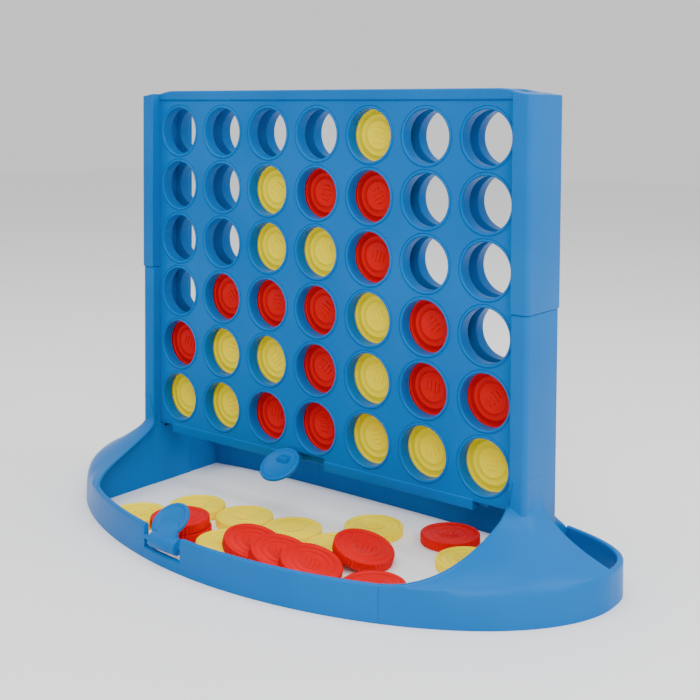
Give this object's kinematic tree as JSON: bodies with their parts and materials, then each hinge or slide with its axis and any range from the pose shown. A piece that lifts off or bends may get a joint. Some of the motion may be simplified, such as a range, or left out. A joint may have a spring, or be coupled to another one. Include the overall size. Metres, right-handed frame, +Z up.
{
  "type": "giant four in a row",
  "caption": "Large four-in-a-row lawn game: upright holed board on an oval base that holds loose discs, with a sliding release bar and a flick lever.",
  "frame": {"origin": "centre of the bounding box at the ground, where the oval base stands", "axes": "+X to the right along the board, -Y out of the front with the tray and the lever, +Z up"},
  "size_m": [0.67, 0.292, 0.472],
  "materials": {
    "board_blue": "smooth gloss moulding",
    "disc_red": "satin moulding",
    "disc_yellow": "satin moulding"
  },
  "bodies": {
    "board_and_base": {"front_grid_panel": "board_blue", "rear_grid_panel": "board_blue", "column_divider_1": "board_blue", "column_divider_2": "board_blue", "column_divider_3": "board_blue", "column_divider_4": "board_blue", "column_divider_5": "board_blue", "column_divider_6": "board_blue", "left_foot": "board_blue", "right_foot": "board_blue", "front_rim": "board_blue", "rear_rim": "board_blue", "left_upper_post": "board_blue", "right_upper_post": "board_blue", "lever_pin": "board_blue"},
    "release_bar": {"release_bar": "board_blue"},
    "flick_lever": {"flick_lever": "board_blue"},
    "disc_column_1_row_1": {"disc_column_1_row_1": "disc_yellow"},
    "disc_column_1_row_2": {"disc_column_1_row_2": "disc_red"},
    "disc_column_2_row_1": {"disc_column_2_row_1": "disc_yellow"},
    "disc_column_2_row_2": {"disc_column_2_row_2": "disc_yellow"},
    "disc_column_2_row_3": {"disc_column_2_row_3": "disc_red"},
    "disc_column_3_row_1": {"disc_column_3_row_1": "disc_red"},
    "disc_column_3_row_2": {"disc_column_3_row_2": "disc_yellow"},
    "disc_column_3_row_3": {"disc_column_3_row_3": "disc_red"},
    "disc_column_3_row_4": {"disc_column_3_row_4": "disc_yellow"},
    "disc_column_3_row_5": {"disc_column_3_row_5": "disc_yellow"},
    "disc_column_4_row_1": {"disc_column_4_row_1": "disc_red"},
    "disc_column_4_row_2": {"disc_column_4_row_2": "disc_red"},
    "disc_column_4_row_3": {"disc_column_4_row_3": "disc_red"},
    "disc_column_4_row_4": {"disc_column_4_row_4": "disc_yellow"},
    "disc_column_4_row_5": {"disc_column_4_row_5": "disc_red"},
    "disc_column_5_row_1": {"disc_column_5_row_1": "disc_yellow"},
    "disc_column_5_row_2": {"disc_column_5_row_2": "disc_yellow"},
    "disc_column_5_row_3": {"disc_column_5_row_3": "disc_yellow"},
    "disc_column_5_row_4": {"disc_column_5_row_4": "disc_red"},
    "disc_column_5_row_5": {"disc_column_5_row_5": "disc_red"},
    "disc_column_5_row_6": {"disc_column_5_row_6": "disc_yellow"},
    "disc_column_6_row_1": {"disc_column_6_row_1": "disc_yellow"},
    "disc_column_6_row_2": {"disc_column_6_row_2": "disc_red"},
    "disc_column_6_row_3": {"disc_column_6_row_3": "disc_red"},
    "disc_column_7_row_1": {"disc_column_7_row_1": "disc_yellow"},
    "disc_column_7_row_2": {"disc_column_7_row_2": "disc_red"},
    "loose_disc_01": {"loose_disc_01": "disc_yellow"},
    "loose_disc_02": {"loose_disc_02": "disc_yellow"},
    "loose_disc_03": {"loose_disc_03": "disc_yellow"},
    "loose_disc_04": {"loose_disc_04": "disc_yellow"},
    "loose_disc_05": {"loose_disc_05": "disc_yellow"},
    "loose_disc_06": {"loose_disc_06": "disc_yellow"},
    "loose_disc_07": {"loose_disc_07": "disc_yellow"},
    "loose_disc_08": {"loose_disc_08": "disc_yellow"},
    "loose_disc_09": {"loose_disc_09": "disc_red"},
    "loose_disc_10": {"loose_disc_10": "disc_red"},
    "loose_disc_11": {"loose_disc_11": "disc_red"},
    "loose_disc_12": {"loose_disc_12": "disc_red"},
    "loose_disc_13": {"loose_disc_13": "disc_red"},
    "loose_disc_14": {"loose_disc_14": "disc_red"},
    "loose_disc_15": {"loose_disc_15": "disc_red"},
    "loose_disc_16": {"loose_disc_16": "disc_red"}
  },
  "joints": [
    {"name": "bar_slide", "type": "slide", "parent": "board_and_base", "child": "release_bar", "axis": [1, 0, 0], "range_m": [0, 0.035]},
    {"name": "flick_lever_pivot", "type": "hinge", "parent": "board_and_base", "child": "flick_lever", "pos_m": [-0.052, -0.1375, 0.022], "axis": [1, 0, 0], "range_deg": [-30, 0], "stiffness_Nm_per_rad": 0.05, "springref_deg": 22.92},
    {"name": "lift_column_1_row_1", "type": "slide", "parent": "board_and_base", "child": "disc_column_1_row_1", "axis": [0, 0, 1], "range_m": [0, 0.3983]},
    {"name": "lift_column_1_row_2", "type": "slide", "parent": "disc_column_1_row_1", "child": "disc_column_1_row_2", "axis": [0, 0, 1], "range_m": [0, 0.3353]},
    {"name": "lift_column_2_row_1", "type": "slide", "parent": "board_and_base", "child": "disc_column_2_row_1", "axis": [0, 0, 1], "range_m": [0, 0.3983]},
    {"name": "lift_column_2_row_2", "type": "slide", "parent": "disc_column_2_row_1", "child": "disc_column_2_row_2", "axis": [0, 0, 1], "range_m": [0, 0.3353]},
    {"name": "lift_column_2_row_3", "type": "slide", "parent": "disc_column_2_row_2", "child": "disc_column_2_row_3", "axis": [0, 0, 1], "range_m": [0, 0.2723]},
    {"name": "lift_column_3_row_1", "type": "slide", "parent": "board_and_base", "child": "disc_column_3_row_1", "axis": [0, 0, 1], "range_m": [0, 0.3983]},
    {"name": "lift_column_3_row_2", "type": "slide", "parent": "disc_column_3_row_1", "child": "disc_column_3_row_2", "axis": [0, 0, 1], "range_m": [0, 0.3353]},
    {"name": "lift_column_3_row_3", "type": "slide", "parent": "disc_column_3_row_2", "child": "disc_column_3_row_3", "axis": [0, 0, 1], "range_m": [0, 0.2723]},
    {"name": "lift_column_3_row_4", "type": "slide", "parent": "disc_column_3_row_3", "child": "disc_column_3_row_4", "axis": [0, 0, 1], "range_m": [0, 0.2093]},
    {"name": "lift_column_3_row_5", "type": "slide", "parent": "disc_column_3_row_4", "child": "disc_column_3_row_5", "axis": [0, 0, 1], "range_m": [0, 0.1463]},
    {"name": "lift_column_4_row_1", "type": "slide", "parent": "board_and_base", "child": "disc_column_4_row_1", "axis": [0, 0, 1], "range_m": [0, 0.3983]},
    {"name": "lift_column_4_row_2", "type": "slide", "parent": "disc_column_4_row_1", "child": "disc_column_4_row_2", "axis": [0, 0, 1], "range_m": [0, 0.3353]},
    {"name": "lift_column_4_row_3", "type": "slide", "parent": "disc_column_4_row_2", "child": "disc_column_4_row_3", "axis": [0, 0, 1], "range_m": [0, 0.2723]},
    {"name": "lift_column_4_row_4", "type": "slide", "parent": "disc_column_4_row_3", "child": "disc_column_4_row_4", "axis": [0, 0, 1], "range_m": [0, 0.2093]},
    {"name": "lift_column_4_row_5", "type": "slide", "parent": "disc_column_4_row_4", "child": "disc_column_4_row_5", "axis": [0, 0, 1], "range_m": [0, 0.1463]},
    {"name": "lift_column_5_row_1", "type": "slide", "parent": "board_and_base", "child": "disc_column_5_row_1", "axis": [0, 0, 1], "range_m": [0, 0.3983]},
    {"name": "lift_column_5_row_2", "type": "slide", "parent": "disc_column_5_row_1", "child": "disc_column_5_row_2", "axis": [0, 0, 1], "range_m": [0, 0.3353]},
    {"name": "lift_column_5_row_3", "type": "slide", "parent": "disc_column_5_row_2", "child": "disc_column_5_row_3", "axis": [0, 0, 1], "range_m": [0, 0.2723]},
    {"name": "lift_column_5_row_4", "type": "slide", "parent": "disc_column_5_row_3", "child": "disc_column_5_row_4", "axis": [0, 0, 1], "range_m": [0, 0.2093]},
    {"name": "lift_column_5_row_5", "type": "slide", "parent": "disc_column_5_row_4", "child": "disc_column_5_row_5", "axis": [0, 0, 1], "range_m": [0, 0.1463]},
    {"name": "lift_column_5_row_6", "type": "slide", "parent": "disc_column_5_row_5", "child": "disc_column_5_row_6", "axis": [0, 0, 1], "range_m": [0, 0.0833]},
    {"name": "lift_column_6_row_1", "type": "slide", "parent": "board_and_base", "child": "disc_column_6_row_1", "axis": [0, 0, 1], "range_m": [0, 0.3983]},
    {"name": "lift_column_6_row_2", "type": "slide", "parent": "disc_column_6_row_1", "child": "disc_column_6_row_2", "axis": [0, 0, 1], "range_m": [0, 0.3353]},
    {"name": "lift_column_6_row_3", "type": "slide", "parent": "disc_column_6_row_2", "child": "disc_column_6_row_3", "axis": [0, 0, 1], "range_m": [0, 0.2723]},
    {"name": "lift_column_7_row_1", "type": "slide", "parent": "board_and_base", "child": "disc_column_7_row_1", "axis": [0, 0, 1], "range_m": [0, 0.3983]},
    {"name": "lift_column_7_row_2", "type": "slide", "parent": "disc_column_7_row_1", "child": "disc_column_7_row_2", "axis": [0, 0, 1], "range_m": [0, 0.3353]},
    {"name": "lift_loose_01", "type": "slide", "parent": "board_and_base", "child": "loose_disc_01", "axis": [0, 0, 1], "range_m": [0, 0.04]},
    {"name": "lift_loose_02", "type": "slide", "parent": "board_and_base", "child": "loose_disc_02", "axis": [0, 0, 1], "range_m": [0, 0.04]},
    {"name": "lift_loose_03", "type": "slide", "parent": "board_and_base", "child": "loose_disc_03", "axis": [0, 0, 1], "range_m": [0, 0.04]},
    {"name": "lift_loose_04", "type": "slide", "parent": "board_and_base", "child": "loose_disc_04", "axis": [0, 0, 1], "range_m": [0, 0.04]},
    {"name": "lift_loose_05", "type": "slide", "parent": "board_and_base", "child": "loose_disc_05", "axis": [0, 0, 1], "range_m": [0, 0.04]},
    {"name": "lift_loose_06", "type": "slide", "parent": "board_and_base", "child": "loose_disc_06", "axis": [0, 0, 1], "range_m": [0, 0.04]},
    {"name": "lift_loose_07", "type": "slide", "parent": "board_and_base", "child": "loose_disc_07", "axis": [0, 0, 1], "range_m": [0, 0.04]},
    {"name": "lift_loose_08", "type": "slide", "parent": "board_and_base", "child": "loose_disc_08", "axis": [0, 0, 1], "range_m": [0, 0.04]},
    {"name": "lift_loose_09", "type": "slide", "parent": "board_and_base", "child": "loose_disc_09", "axis": [0, 0, 1], "range_m": [0, 0.04]},
    {"name": "lift_loose_10", "type": "slide", "parent": "board_and_base", "child": "loose_disc_10", "axis": [0, 0, 1], "range_m": [0, 0.04]},
    {"name": "lift_loose_11", "type": "slide", "parent": "loose_disc_10", "child": "loose_disc_11", "axis": [0, 0, 1], "range_m": [0, 0.04]},
    {"name": "lift_loose_12", "type": "slide", "parent": "loose_disc_05", "child": "loose_disc_12", "axis": [0, 0, 1], "range_m": [0, 0.04]},
    {"name": "lift_loose_13", "type": "slide", "parent": "loose_disc_06", "child": "loose_disc_13", "axis": [0, 0, 1], "range_m": [0, 0.04]},
    {"name": "lift_loose_14", "type": "slide", "parent": "loose_disc_13", "child": "loose_disc_14", "axis": [0, 0, 1], "range_m": [0, 0.04]},
    {"name": "lift_loose_15", "type": "slide", "parent": "loose_disc_14", "child": "loose_disc_15", "axis": [0, 0, 1], "range_m": [0, 0.04]},
    {"name": "lift_loose_16", "type": "slide", "parent": "board_and_base", "child": "loose_disc_16", "axis": [0, 0, 1], "range_m": [0, 0.04]}
  ]
}
